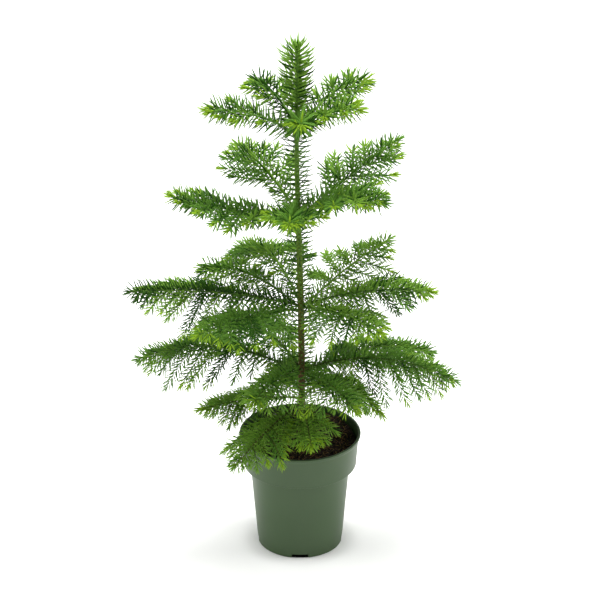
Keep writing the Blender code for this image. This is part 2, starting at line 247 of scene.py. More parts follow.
def add_piece(name, points, faces, materials, slots=None):
    """A smooth mesh object of these points and faces, riding on the plant's one body."""
    faces = np.asarray(faces, np.int32)
    mesh = bpy.data.meshes.new(name)
    mesh.vertices.add(len(points))
    mesh.vertices.foreach_set("co", np.asarray(points, np.float32).ravel())
    mesh.loops.add(faces.size)
    mesh.loops.foreach_set("vertex_index", faces.ravel())
    mesh.polygons.add(len(faces))
    mesh.polygons.foreach_set("loop_start", np.arange(0, faces.size, faces.shape[1], dtype=np.int32))
    for material in materials:
        mesh.materials.append(material)
    if slots is not None:
        mesh.polygons.foreach_set("material_index", np.asarray(slots, np.int32))
    mesh.update(calc_edges=True)
    mesh.shade_smooth()
    piece = bpy.data.objects.new(name, mesh)
    bpy.context.scene.collection.objects.link(piece)
    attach(piece, "root")
    return piece


def unit(vectors):
    """Vectors scaled to length one along the last axis."""
    return vectors / np.maximum(np.linalg.norm(vectors, axis=-1, keepdims=True), 1e-12)


def skin_faces(rings, sides):
    """Triangles of one skin. Point 0 is the first pole, the rings follow, and the last point is the
    other pole."""
    around = np.arange(sides)
    ahead = (around + 1) % sides
    first = np.stack([np.zeros(sides, int), 1 + ahead, 1 + around], 1)
    walls = []
    for ring in range(rings - 1):
        low = 1 + ring * sides
        high = low + sides
        walls.append(np.stack([low + around, low + ahead, high + ahead], 1))
        walls.append(np.stack([low + around, high + ahead, high + around], 1))
    top = 1 + (rings - 1) * sides
    last = np.stack([np.full(sides, 1 + rings * sides), top + around, top + ahead], 1)
    return np.concatenate([first, *walls, last])


def skins(paths, across, above, half_width, half_height, sides):
    """Closed skins along many paths. Each path's first and last points are the poles, and round every
    point between lies an ellipse: path + across * half_width * cos(a) + above * half_height * sin(a)."""
    count, stations = paths.shape[:2]
    turn = np.arange(sides) * (2 * math.pi / sides)
    wide = np.broadcast_to(half_width, (count, stations))[:, 1:-1, None, None] * np.cos(turn)[:, None]
    high = np.broadcast_to(half_height, (count, stations))[:, 1:-1, None, None] * np.sin(turn)[:, None]
    rings = paths[:, 1:-1, None] + wide * across[:, 1:-1, None] + high * above[:, 1:-1, None]
    body = rings.reshape(count, -1, 3)
    points = np.concatenate([paths[:, :1], body, paths[:, -1:]], 1)
    faces = skin_faces(stations - 2, sides)
    shift = np.arange(count)[:, None, None] * points.shape[1]
    return points.reshape(-1, 3), (faces[None] + shift).reshape(-1, 3)


def frames_along(paths, reference):
    """Directions along, across and above each path, square to one another."""
    along = unit(np.gradient(paths, axis=1))
    across = unit(np.cross(np.broadcast_to(reference, along.shape), along))
    return along, across, np.cross(along, across)


print("one needle of two rings has", len(skin_faces(2, 4)), "faces")

# %% [markdown]
# ## Nursery pot
# The pot is injection moulded polypropylene, in the grey green that growers use: a rolled lip,
# a deep collar, a step that lets pots stack, a tapering body and a foot ring with four notches
# that let water out. A turned profile makes it in one go. Its corners are eased with short
# curves, because a moulded edge is never sharp and the soft line of light on it shows the form.

# %% Pot measurements
POT_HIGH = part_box("pot")[1]
POT_HEIGHT = POT_HIGH.z
LIP_RADIUS = POT_HIGH.x
COLLAR_HEIGHT = 0.28 * POT_HEIGHT
STEP_HEIGHT = POT_HEIGHT - COLLAR_HEIGHT
WALL = 1.2 * MM
FLOOR_RISE = 3.0 * MM
FOOT_RADIUS = 0.70 * LIP_RADIUS
BODY_TOP_RADIUS = 0.823 * LIP_RADIUS
FOOT_RING = 7.0 * MM
NOTCH_WIDTH = 18.5 * MM
NOTCH_RISE = 4.0 * MM
NOTCH_FADE = 8.0 * MM
NOTCH_CORNER = 0.6 * MM
DRAIN_HOLE_RADIUS = 4.5 * MM
DRAIN_HOLE_CIRCLE = 27.0 * MM
POT_STEPS = 144
FINEST_STEP = 0.45 * MM
print("pot", round(POT_HEIGHT * 1000, 1), "mm tall")

# %% Pot profile


def body_radius(height):
    """Outer radius of the body: it widens evenly from the foot to the step."""
    return FOOT_RADIUS + (BODY_TOP_RADIUS - FOOT_RADIUS) * height / STEP_HEIGHT


def eased(corners, steps=6):
    """A line of (radius, height, easing) corners, each turned by a short curve that starts and ends
    its easing away from the corner."""
    spots = np.array([corner[:2] for corner in corners])
    line = [spots[:1]]
    share = np.linspace(0.0, 1.0, steps)[:, None]
    for i in range(1, len(spots) - 1):
        before = spots[i] + unit(spots[i - 1] - spots[i]) * corners[i][2]
        after = spots[i] + unit(spots[i + 1] - spots[i]) * corners[i][2]
        line.append((1 - share) ** 2 * before + 2 * share * (1 - share) * spots[i] + share ** 2 * after)
    return np.concatenate([*line, spots[-1:]])


def with_support(line, near, far):
    """The same line with extra points a little way past every point, and along its long runs."""
    length = np.concatenate([[0.0], np.cumsum(np.linalg.norm(np.diff(line, axis=0), axis=1))])
    places = np.concatenate([length, length + near, length - near, np.arange(0.0, length[-1], far)])
    places = np.unique(np.clip(places, 0.0, length[-1]).round(6))
    places = places[np.concatenate([[True], np.diff(places) > near / 4])]
    return np.stack([np.interp(places, length, line[:, k]) for k in (0, 1)], 1)


# Each corner is a radius, a height and how far from the corner its easing starts.
lip_bottom = POT_HEIGHT - 3.2 * MM
collar_top = LIP_RADIUS - 2.0 * MM
collar_bottom = LIP_RADIUS - 4.5 * MM
POT_CORNERS = [
    (0.0, 0.0, 0.0),
    (15.0 * MM, 0.0, 0.3 * MM),
    (16.0 * MM, FLOOR_RISE, 0.3 * MM),
    (FOOT_RADIUS - FOOT_RING - 1.0 * MM, FLOOR_RISE, 0.3 * MM),
    (FOOT_RADIUS - FOOT_RING, 0.0, 0.3 * MM),
    (FOOT_RADIUS, 0.0, 1.2 * MM),
    (body_radius(STEP_HEIGHT), STEP_HEIGHT, 0.3 * MM),
    (collar_bottom, STEP_HEIGHT, 0.8 * MM),
    (collar_top, lip_bottom, 0.3 * MM),
    (LIP_RADIUS, lip_bottom + 0.3 * MM, 0.5 * MM),
    (LIP_RADIUS, POT_HEIGHT, 1.0 * MM),
    (LIP_RADIUS - 2.6 * MM, POT_HEIGHT, 0.8 * MM),
    (collar_top - WALL, lip_bottom, 0.4 * MM),
    (collar_bottom - WALL, STEP_HEIGHT + WALL, 0.5 * MM),
    (body_radius(STEP_HEIGHT) - WALL, STEP_HEIGHT + WALL, 0.5 * MM),
    (body_radius(0.0) - WALL, FLOOR_RISE + WALL, 1.5 * MM),
    (0.0, FLOOR_RISE + WALL, 0.0),
]
pot_line = with_support(eased(POT_CORNERS), FINEST_STEP, 4.0 * MM)
print("pot profile", len(pot_line), "points")

# %% Pot surface


def notch_lift(turn):
    """How far the foot is raised at an angle: NOTCH_RISE inside a notch, and 0 outside."""
    from_notch = np.abs((turn + math.pi / 4) % (math.pi / 2) - math.pi / 4) * FOOT_RADIUS
    inside = np.clip((NOTCH_WIDTH / 2 - from_notch) / NOTCH_CORNER + 0.5, 0.0, 1.0)
    return NOTCH_RISE * inside * inside * (3 - 2 * inside)


def pot_angles():
    """Even angles round the pot, with closer ones at the sides of each notch."""
    even = np.linspace(0.0, 2 * math.pi, POT_STEPS, endpoint=False)
    edge = NOTCH_WIDTH / 2 / FOOT_RADIUS
    near = np.linspace(-0.5, 0.5, 5) * MM / FOOT_RADIUS
    quarters = np.arange(4) * math.pi / 2
    extra = (quarters[:, None, None] + np.array([-edge, edge])[:, None] + near).ravel()
    return np.unique(np.concatenate([even, extra % (2 * math.pi)]).round(6))


def turned_grid(line, turns):
    """Points of a line of (radius, height) turned about Z: radius * cos(turn), radius * sin(turn),
    height."""
    x = line[:, 0:1] * np.cos(turns)
    y = line[:, 0:1] * np.sin(turns)
    z = np.broadcast_to(line[:, 1:2], x.shape)
    return np.stack([x, y, z], -1)


def make_pot(material):
    """The turned wall. Its two ends lie on the axis and close the floor. Inside a notch the foot
    rises, and the rise fades out up the wall."""
    turns = pot_angles()
    grid = turned_grid(pot_line[1:-1], turns)
    outer = grid[..., 2] < NOTCH_FADE
    ring = np.hypot(grid[..., 0], grid[..., 1]) > FOOT_RADIUS - FOOT_RING - 0.5 * MM
    wall_side = np.arange(len(grid))[:, None] < len(grid) // 2
    fade = np.where(outer & ring & wall_side, 1 - grid[..., 2] / NOTCH_FADE, 0.0)
    grid[..., 2] += notch_lift(turns) * fade
    points = grid.reshape(-1, 3)
    poles = np.array([[0.0, 0.0, pot_line[0, 1]], [0.0, 0.0, pot_line[-1, 1]]])
    points = np.concatenate([poles[:1], points, poles[1:]])
    faces = skin_faces(len(grid), len(turns))
    return add_piece("nursery_pot", points, faces, [material])


def drill(piece, radius, circle):
    """Four drain holes through the floor, cut by round pins that are removed afterwards."""
    for quarter in range(4):
        turn = quarter * math.pi / 2
        spot = (circle * math.cos(turn), circle * math.sin(turn), FLOOR_RISE)
        bpy.ops.mesh.primitive_cylinder_add(vertices=24, radius=radius, depth=10 * MM, location=spot)
        pin = bpy.context.object
        hole = piece.modifiers.new("hole", "BOOLEAN")
        hole.operation = "DIFFERENCE"
        hole.object = pin
        shape = piece.evaluated_get(bpy.context.evaluated_depsgraph_get())
        cut = bpy.data.meshes.new_from_object(shape)
        piece.modifiers.clear()
        piece.data = cut
        bpy.data.objects.remove(pin)


def moulded_polypropylene():
    """Injection moulded polypropylene: a fine spark-eroded mould gives a satin skin that spreads
    the light, with faint clouding in the pigment and dust that dulls it here and there."""
    material, tree, shader = new_material("satin_moulded_polypropylene", "#384d2e", 0.45, 0.35)
    coords = add_node(tree, "TexCoord").outputs["Object"]
    cloud = add_node(tree, "TexNoise", {"Scale": 14.0, "Detail": 3.0}, {"Vector": coords})
    tint = add_node(tree, "ValToRGB", {"ramp": [(0.3, "#364b2c"), (0.7, "#3b5031")]},
                    {0: cloud.outputs[0]})
    grain = add_node(tree, "TexNoise", {"Scale": 900.0, "Detail": 2.0}, {"Vector": coords})
    rough = add_node(tree, "MapRange", {"To Min": 0.40, "To Max": 0.50}, {"Value": cloud.outputs[0]})
    bump = add_node(tree, "Bump", {"Strength": 0.25, "Distance": 0.00006}, {"Height": grain.outputs[0]})
    tree.links.new(tint.outputs[0], shader.inputs["Base Color"])
    tree.links.new(rough.outputs[0], shader.inputs["Roughness"])
    tree.links.new(bump.outputs[0], shader.inputs["Normal"])
    return material


pot = make_pot(moulded_polypropylene())
drill(pot, DRAIN_HOLE_RADIUS, DRAIN_HOLE_CIRCLE)
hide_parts("pot")
print("pot faces", len(pot.data.polygons))

# %% [markdown]
# ## Soil
# Potting peat is nearly black when damp, and it lies in crumbs of one to four millimetres. A
# height field gives the lumpy surface, and loose crumbs and a litter of dead brown needles lie
# on it. The overall rise towards the trunk is read from the packed soil.

# %% Soil surface


def corners_of(node):
    """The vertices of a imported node, each once, as an array."""
    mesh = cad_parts[node].data
    found = np.empty(len(mesh.vertices) * 3, np.float32)
    mesh.vertices.foreach_get("co", found)
    return np.unique(found.reshape(-1, 3).astype(float).round(5), axis=0)


soil_points = corners_of("soil")
SOIL_WALL_FOOT = float(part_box("soil")[0].z) + 90 * MM
SOIL_TURNS = 200
SOIL_RINGS = 70
SOIL_RADIUS = float(np.hypot(soil_points[:, 0], soil_points[:, 1]).max())
top_points = soil_points[soil_points[:, 2] > STEP_HEIGHT + 5 * MM]
soil_fit = np.linalg.lstsq(
    np.stack([np.ones(len(top_points)), np.hypot(top_points[:, 0], top_points[:, 1]),
              np.maximum(top_points[:, 1], 0.0)], 1), top_points[:, 2], rcond=None)[0]


def waves(x, y, size, count, seed):
    """Lumps about this size across: a sum of sine waves of random direction, length and phase."""
    draw = np.random.default_rng(seed)
    turn = draw.uniform(0, 2 * math.pi, count)
    pitch = 2 * math.pi / (size * draw.uniform(0.6, 1.7, count))
    phase = draw.uniform(0, 2 * math.pi, count)
    along = x[..., None] * np.cos(turn) + y[..., None] * np.sin(turn)
    return np.sin(along * pitch + phase).sum(-1) / math.sqrt(count)


def soil_height(x, y):
    """The packed soil's own slope plus lumps of three sizes. Taking the absolute value of a wave
    gives rounded crumbs with sharp dips between them."""
    level = soil_fit[0] + soil_fit[1] * np.hypot(x, y) + soil_fit[2] * np.maximum(y, 0.0)
    swell = 0.7 * MM * waves(x, y, 22 * MM, 9, 1)
    lumps = 0.9 * MM * np.abs(waves(x, y, 8 * MM, 14, 2))
    crumbs = 0.45 * MM * np.abs(waves(x, y, 3 * MM, 20, 3))
    return level + swell + lumps + crumbs - 0.7 * MM


def make_soil(material):
    """A disc of soil on a grid of rings, with a short wall down inside the pot and a flat base."""
    turns = np.linspace(0, 2 * math.pi, SOIL_TURNS, endpoint=False)
    radii = SOIL_RADIUS * np.linspace(0.012, 1.0, SOIL_RINGS) ** 0.8
    x = radii[:, None] * np.cos(turns)
    y = radii[:, None] * np.sin(turns)
    top = np.stack([x, y, soil_height(x, y)], -1)
    wall = top[-1:].copy()
    wall[..., 2] = SOIL_WALL_FOOT
    grid = np.concatenate([wall, top[::-1]])
    middle = float(soil_height(np.zeros(1), np.zeros(1))[0])
    pole = np.array([[0.0, 0.0, SOIL_WALL_FOOT], [0.0, 0.0, middle]])
    points = np.concatenate([pole[:1], grid.reshape(-1, 3), pole[1:]])
    return add_piece("peat_soil", points, skin_faces(len(grid), len(turns)), [material])


def damp_peat(name, dark, light):
    """Damp peat: fibrous, matt and almost black, with brown fibre showing where a crumb is dry."""
    material, tree, shader = new_material(name, dark, 0.92, 0.25)
    coords = add_node(tree, "TexCoord").outputs["Object"]
    patches = add_node(tree, "TexNoise", {"Scale": 330.0, "Detail": 5.0, "Roughness": 0.65},
                       {"Vector": coords})
    tint = add_node(tree, "ValToRGB", {"ramp": [(0.38, dark), (0.72, light)]}, {0: patches.outputs[0]})
    bump = add_node(tree, "Bump", {"Strength": 0.7, "Distance": 0.0005}, {"Height": patches.outputs[0]})
    tree.links.new(tint.outputs[0], shader.inputs["Base Color"])
    tree.links.new(bump.outputs[0], shader.inputs["Normal"])
    return material


peat = damp_peat("damp_fibrous_peat", "#14100d", "#3c2a1e")
soil = make_soil(peat)
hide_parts("soil")
print("soil radius", round(SOIL_RADIUS * 1000, 1), "mm")

# %% Crumbs on the soil
CRUMBS = 1100


def scatter(count, seed, edge):
    """Even random places on the soil, out to a share of its radius, with their heights."""
    draw = np.random.default_rng(seed)
    radius = SOIL_RADIUS * edge * np.sqrt(draw.uniform(0.002, 1, count))
    turn = draw.uniform(0, 2 * math.pi, count)
    x = radius * np.cos(turn)
    y = radius * np.sin(turn)
    return np.stack([x, y, soil_height(x, y)], 1), draw


def make_crumbs(material):
    """Small uneven lumps: short skins of three rings, fat in the middle, turned every way."""
    spots, draw = scatter(CRUMBS, 4, 0.97)
    size = 0.45 * MM + 1.3 * MM * draw.random(CRUMBS) ** 2.5
    axis = unit(draw.normal(size=(CRUMBS, 3)))
    side = unit(np.cross(axis, draw.normal(size=(CRUMBS, 3))))
    reach = np.array([-1.0, -0.6, 0.05, 0.65, 1.0])
    girth = np.array([0.0, 0.75, 1.0, 0.7, 0.0]) * draw.uniform(0.75, 1.25, (CRUMBS, 5))
    paths = spots[:, None] + axis[:, None] * reach[:, None] * size[:, None, None]
    across = np.broadcast_to(side[:, None], paths.shape)
    above = np.broadcast_to(np.cross(axis, side)[:, None], paths.shape)
    wide = girth * size[:, None]
    points, faces = skins(paths, across, above, wide, wide * 0.8, 6)
    return add_piece("soil_crumbs", points, faces, [material])


crumbs = make_crumbs(peat)
print("crumbs", CRUMBS)

# %% [markdown]
# ## Trunk
# A young Norfolk Island pine keeps its leaf bases on the stem: low cushions in spirals, green
# near the top and brown and flaking at the foot. The skin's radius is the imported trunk's own
# radius with those cushions added, so the bark has real relief and not only a painted one.

# %% Trunk axis and radius


def stem_rings(points, gap):
    """Centres and radii of a stem's rings, where a rise of more than gap starts a new ring."""
    order = points[np.argsort(points[:, 2])]
    ring = np.concatenate([[0], np.cumsum(np.diff(order[:, 2]) > gap)])
    count = np.bincount(ring)
    centres = np.stack([np.bincount(ring, order[:, k]) / count for k in range(3)], 1)
    from_centre = np.hypot(order[:, 0] - centres[ring, 0], order[:, 1] - centres[ring, 1])
    return centres, np.bincount(ring, from_centre) / count


trunk_centres, trunk_radii = stem_rings(corners_of("trunk"), 1 * MM)
TRUNK_FOOT = float(trunk_centres[0, 2])
TRUNK_TIP = float(trunk_centres[-1, 2])


def trunk_axis(heights):
    """Centre of the trunk at these heights."""
    heights = np.asarray(heights, float)
    x = np.interp(heights, trunk_centres[:, 2], trunk_centres[:, 0])
    y = np.interp(heights, trunk_centres[:, 2], trunk_centres[:, 1])
    return np.stack([x, y, heights], -1)


def trunk_radius(heights):
    """Radius of the trunk at these heights."""
    return np.interp(heights, trunk_centres[:, 2], trunk_radii)


print("trunk", round(TRUNK_FOOT, 4), "to", round(TRUNK_TIP, 4))

# %% Bark skin


def leaf_bases(turn, length, pitch, rows):
    """Cushions left by the leaves: the product of two waves that wind round opposite ways."""
    left = np.cos(rows * turn + length * 2 * math.pi / pitch)
    right = np.cos((rows + 1) * turn - length * 2 * math.pi / pitch)
    return np.clip(left * right, 0.0, 1.0)


def bark_skin(paths, reference, radii, sides, relief, pitch):
    """One closed stem skin: rings of radius radii + relief * (leaf bases + slow ridges)."""
    _, across, above = frames_along(paths, reference)
    turn = np.arange(sides) * (2 * math.pi / sides)
    step = np.linalg.norm(np.diff(paths, axis=1), axis=-1)
    length = np.concatenate([np.zeros((len(paths), 1)), np.cumsum(step, 1)], 1)[..., None]
    ridges = np.sin(3 * turn + 40 * length) + np.sin(5 * turn - 90 * length + 2)
    swell = relief[..., None] * (leaf_bases(turn, length, pitch, 3) + 0.25 * ridges)
    ring = radii[..., None] + swell
    rings = paths[:, :, None] + ring[..., None] * (
        np.cos(turn)[:, None] * across[:, :, None] + np.sin(turn)[:, None] * above[:, :, None])
    points = np.concatenate([paths[:, :1], rings.reshape(len(paths), -1, 3), paths[:, -1:]], 1)
    faces = skin_faces(paths.shape[1], sides)
    shift = np.arange(len(paths))[:, None, None] * points.shape[1]
    return points.reshape(-1, 3), (faces[None] + shift).reshape(-1, 3)


def young_bark(name, stops, low, high):
    """Young bark: waxy and green near the tip, olive lower down, and corky, brown and flaking at
    the foot. The colours follow the height, broken up by fine noise."""
    material, tree, shader = new_material(name, stops[0][1], 0.72, 0.35)
    coords = add_node(tree, "TexCoord").outputs["Object"]
    split = add_node(tree, "SeparateXYZ", {}, {0: coords})
    height = add_node(tree, "MapRange", {"From Min": low, "From Max": high}, {"Value": split.outputs["Z"]})
    speckle = add_node(tree, "TexNoise", {"Scale": 700.0, "Detail": 4.0}, {"Vector": coords})
    wander = add_node(tree, "MapRange", {"To Min": -0.10, "To Max": 0.10}, {"Value": speckle.outputs[0]})
    place = add_node(tree, "Math", {"operation": "ADD"}, {0: height.outputs[0], 1: wander.outputs[0]})
    tint = add_node(tree, "ValToRGB", {"ramp": stops}, {0: place.outputs[0]})
    bump = add_node(tree, "Bump", {"Strength": 0.6, "Distance": 0.0002}, {"Height": speckle.outputs[0]})
    tree.links.new(tint.outputs[0], shader.inputs["Base Color"])
    tree.links.new(bump.outputs[0], shader.inputs["Normal"])
    return material


TRUNK_STOPS = [(0.0, "#5a3a22"), (0.10, "#5e4526"), (0.28, "#5d5a22"), (0.50, "#62802a"),
               (1.0, "#5f8a30")]
TRUNK_RINGS = 420
TRUNK_SIDES = 28
TRUNK_BASE_PITCH = 5.0 * MM
bark = young_bark("young_stem_bark", TRUNK_STOPS, TRUNK_FOOT, TRUNK_TIP)


def make_trunk(material):
    """The trunk's skin, from its flat foot on the soil to its tip inside the leader's needles."""
    heights = np.linspace(TRUNK_FOOT, TRUNK_TIP, TRUNK_RINGS)
    share = (heights - TRUNK_FOOT) / (TRUNK_TIP - TRUNK_FOOT)
    relief = (0.35 - 0.22 * share) * MM
    points, faces = bark_skin(trunk_axis(heights)[None], np.array([0.0, 1.0, 0.0]),
                              (trunk_radius(heights) - 0.05 * MM)[None], TRUNK_SIDES, relief[None],
                              TRUNK_BASE_PITCH)
    return add_piece("trunk_bark", points, faces, [material])


trunk = make_trunk(bark)
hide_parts("trunk")
print("trunk faces", len(trunk.data.polygons))

# %% [markdown]
# ## Reading the boughs
# Each packed bough is a limb and a flat pad of needles. Three things are read from them: the
# direction round the trunk, the curve of the bough's spine, and how far the pad spreads on
# either side of it. The spine of every pad is a parabola in an upright plane, so three numbers
# give it, fitted to the vertices that lie on the spine.

# %% Bough reader
Spine = namedtuple("Spine", "name whorl foot turn curve reach outline")
ON_SPINE = 0.6 * MM


def read_bough(name):
    """The spine of a bough: its foot on the trunk's axis, its direction, height as a parabola of the
    distance out, its reach, and the pad's edge points as (distance out, distance to the side)."""
    limb = corners_of(name + "_bough")
    pad = corners_of(name + "_needles")
    foot = trunk_axis(limb[:, 2].min())
    flat = pad[:, :2] - foot[:2]
    reach = np.hypot(flat[:, 0], flat[:, 1])
    tip = flat[np.argmax(reach)]
    turn = math.atan2(tip[1], tip[0])
    heading = np.array([math.cos(turn), math.sin(turn)])
    out = flat @ heading
    side = flat @ np.array([-heading[1], heading[0]])
    middle = np.abs(side) < ON_SPINE
    limb_out = (limb[:, :2] - foot[:2]) @ heading
    curve = np.polyfit(np.concatenate([out[middle], limb_out]),
                       np.concatenate([pad[middle, 2], limb[:, 2]]), 2)
    return Spine(name, name[:7], foot, turn, curve, float(reach.max()), np.stack([out, side], 1))


def on_spine(spine, out):
    """Points of a spine at these distances out from the trunk's axis."""
    out = np.asarray(out, float)
    x = spine.foot[0] + out * math.cos(spine.turn)
    y = spine.foot[1] + out * math.sin(spine.turn)
    return np.stack([x, y, np.polyval(spine.curve, out)], -1)


def edge_beside(spine, out, sign, window=9 * MM):
    """How far the pad spreads on one side at these distances out: the widest point within a window."""
    place, side = spine.outline[:, 0], spine.outline[:, 1] * sign
    near = np.abs(out[..., None] - place) < window
    return np.where(near, side, 0.0).max(-1)


# A bough's name starts with its whorl, as in whorl_1_left.
BOUGH_NAMES = sorted(node[:-len("_bough")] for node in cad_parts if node.endswith("_bough"))
spines = [read_bough(name) for name in BOUGH_NAMES]
for spine in spines:
    print(spine.name, "turn", round(math.degrees(spine.turn)), "reach", round(spine.reach * 1000))

# %% [markdown]
# ## Growing the shoots
# Norfolk Island pine branches by a strict rule. A bough carries two rows of side shoots, left
# and right in one plane, at even steps. They leave at a wide angle and bend towards the tip, and
# on the older whorls they hang at their ends. The rule here grows them at seeded random steps
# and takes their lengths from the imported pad's edge, so the crown keeps its outline and its gaps.

# %% Habit of each whorl
Habit = namedtuple("Habit", "step first angle droop spread bare main side")
Growth = namedtuple("Growth", "needle width density open close young fold flat")
# step, first and bare in mm, angle in degrees. Droop is how far a side shoot's end hangs, and spread
# multiplies its room in the pad. A growth's needle, width and young are in mm, its density
# in needles per mm, and open and close are a needle's angles to the shoot at its foot and its tip.
HABITS = {
    "whorl_1": Habit(18.0, 20.0, 50.0, 0.05, 1.50, 0.0,
                     Growth(21.0, 2.0, 1.25, 80.0, 58.0, 14.0, 0.32, 1.0),
                     Growth(17.5, 1.9, 1.1, 62.0, 42.0, 14.0, 0.30, 0.9)),
    "whorl_2": Habit(15.0, 20.0, 50.0, 0.05, 1.50, 2.0,
                     Growth(19.5, 2.0, 1.35, 76.0, 56.0, 13.0, 0.32, 1.0),
                     Growth(16.5, 1.9, 1.05, 60.0, 42.0, 12.0, 0.30, 0.7)),
    "whorl_3": Habit(13.0, 15.0, 55.0, 0.30, 1.80, 5.0,
                     Growth(17.0, 1.8, 1.5, 74.0, 54.0, 11.0, 0.32, 1.0),
                     Growth(13.5, 1.6, 1.15, 56.0, 40.0, 10.0, 0.32, 0.5)),
    "whorl_4": Habit(13.0, 15.0, 55.0, 0.45, 1.60, 8.0,
                     Growth(16.5, 1.8, 1.5, 74.0, 54.0, 11.0, 0.32, 1.0),
                     Growth(14.0, 1.6, 1.0, 52.0, 36.0, 10.0, 0.32, 0.5)),
    "whorl_5": Habit(10.0, 20.0, 55.0, 0.30, 1.50, 12.0,
                     Growth(15.0, 1.6, 1.9, 70.0, 50.0, 10.0, 0.35, 1.0),
                     Growth(14.0, 1.4, 1.35, 52.0, 36.0, 10.0, 0.35, 0.7)),
}
OWN_WAYS = {  # boughs that differ from their whorl's habit, as neighbours that shade each other do
    "whorl_2_back_right": {"first": 35.0},
    "whorl_3_back_right": {"first": 35.0},
    "whorl_4_back_left": {"first": 30.0},
    "whorl_4_back_right": {"first": 30.0},
}
BOUGH_SEED = 100
WIDER_AT_FOOT = 35.0  # degrees that a shoot at the foot of a bough opens beyond the habit's angle
CLOSING = 50.0  # degrees that the angle closes from the foot of a bough to its tip
LONGER_AT_FOOT = 0.4  # share by which shoots at the foot of a bough outgrow those at its tip
STATIONS = 14


def habit_of(spine):
    """The habit of the bough's whorl with the bough's own differences."""
    return HABITS[spine.whorl]._replace(**OWN_WAYS.get(spine.name, {}))


def main_shoot(spine, habit, bare=0.0):
    """The bough itself, from the trunk's skin, or from bare mm further out, to a needle's half length
    short of the pad's tip."""
    start = float(trunk_radius(spine.foot[2])) + (bare - 0.3) * MM
    end = spine.reach - 0.4 * habit.main.needle * MM
    return on_spine(spine, np.linspace(start, end, 4 * STATIONS))[None]


def shoot_paths(starts, first, last, lengths):
    """Paths whose direction turns evenly from first to last: start + length * (u * first +
    u * u / 2 * (last - first)), for u from 0 to 1."""
    u = np.linspace(0.0, 1.0, STATIONS)[:, None]
    bend = u * first[:, None] + u * u / 2 * (last - first)[:, None]
    return starts[:, None] + lengths[:, None, None] * bend


def side_lengths(spine, habit, starts, angles, sign):
    """The longest run from each start, at its own angle, that stays inside the pad's edge, times the
    habit's spread and a little more near the foot."""
    runs = np.linspace(0.0, 0.09, 91)
    out = starts[:, None] + runs * np.cos(angles)[:, None]
    inside = runs * np.sin(angles)[:, None] <= edge_beside(spine, out, sign)
    longest = np.where(inside, runs, 0.0).max(1)
    to_tip = (spine.reach - starts) * 0.95
    longest = longest * (1 + LONGER_AT_FOOT * (1 - starts / spine.reach))
    return np.minimum(habit.spread * longest, to_tip)


def side_shoots(spine, habit, sign, draw):
    """One row of side shoots. Their feet step out along the bough with a little play."""
    step = habit.step * MM
    feet = np.arange(habit.first * MM, spine.reach - 9 * MM, step)
    feet = feet + step * (0.5 * (sign > 0) + draw.uniform(-0.16, 0.16, len(feet)))
    feet = feet[feet < spine.reach - 8 * MM]
    angles = np.radians(habit.angle + WIDER_AT_FOOT - CLOSING * feet / spine.reach)
    lengths = side_lengths(spine, habit, feet, angles, sign) * draw.uniform(0.84, 1.0, len(feet))
    lengths = lengths - 0.45 * habit.side.needle * MM
    grown = lengths > 5 * MM
    feet, lengths, angles = feet[grown], lengths[grown], angles[grown]
    ahead = unit(on_spine(spine, feet + 1 * MM) - on_spine(spine, feet))
    across = unit(np.cross(UP, ahead)) * sign
    angle = (angles + np.radians(draw.uniform(-5, 5, len(feet))))[:, None]
    lift = draw.uniform(-0.06, 0.10, len(feet))[:, None]
    first = unit(np.cos(angle + 0.12) * ahead + np.sin(angle + 0.12) * across + lift * UP)
    sag = (2 * habit.droop * draw.uniform(0.7, 1.3, len(feet)))[:, None]
    last = np.cos(angle - 0.22) * ahead + np.sin(angle - 0.22) * across + (lift - sag) * UP
    return shoot_paths(on_spine(spine, feet), first, last, lengths), lengths


spine_shoots = {}
side_paths = {}
bough_chance = {spine.name: np.random.default_rng(BOUGH_SEED + i) for i, spine in enumerate(spines)}
for spine in spines:
    habit = habit_of(spine)
    spine_shoots[spine.name] = main_shoot(spine, habit)
    rows = [side_shoots(spine, habit, sign, bough_chance[spine.name]) for sign in (1, -1)]
    side_paths[spine.name] = np.concatenate([row[0] for row in rows])
shoot_total = sum(len(paths) for paths in side_paths.values())
print("side shoots", shoot_total)

# %% Bough and twig skins
LIMB_RINGS = 110
LIMB_SIDES = 10
LIMB_BASE_PITCH = 3.2 * MM
TWIG_SIDES = 6
LIMB_THICK = 1.25 * MM
LIMB_THIN = 0.45 * MM
TWIG_THICK = 0.42 * MM
TWIG_THIN = 0.22 * MM
LIMB_STOPS = [(0.0, "#5c5a28"), (0.20, "#506a26"), (0.6, "#527a2a"), (1.0, "#5f8a30")]
LIMB_BARK_HEIGHTS = (0.14, 0.50)  # metres where the colours start and end
limb_bark = young_bark("bough_bark", LIMB_STOPS, *LIMB_BARK_HEIGHTS)


def make_bough(spine, material):
    """A bough's tapering skin, with the leaf bases that its needles stand on."""
    coarse = spine_shoots[spine.name][0]
    share = np.linspace(0, 1, LIMB_RINGS)
    spots = np.linspace(0, 1, len(coarse))
    path = np.stack([np.interp(share, spots, coarse[:, k]) for k in range(3)], 1)[None]
    radii = (LIMB_THICK + (LIMB_THIN - LIMB_THICK) * share)[None]
    points, faces = bark_skin(path, UP, radii, LIMB_SIDES, 0.10 * radii + 0.05 * MM, LIMB_BASE_PITCH)
    piece = add_piece(spine.name + "_limb", points, faces, [material])
    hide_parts(spine.name + "_bough")
    return piece


def make_twigs(whorl, material):
    """All side twigs of a whorl as one mesh of thin tapering skins."""
    paths = np.concatenate([side_paths[spine.name] for spine in spines if spine.whorl == whorl])
    taper = np.linspace(TWIG_THICK, TWIG_THIN, STATIONS)
    _, across, above = frames_along(paths, UP)
    points, faces = skins(paths, across, above, taper, taper, TWIG_SIDES)
    piece = add_piece(whorl + "_twigs", points, faces, [material])
    return piece


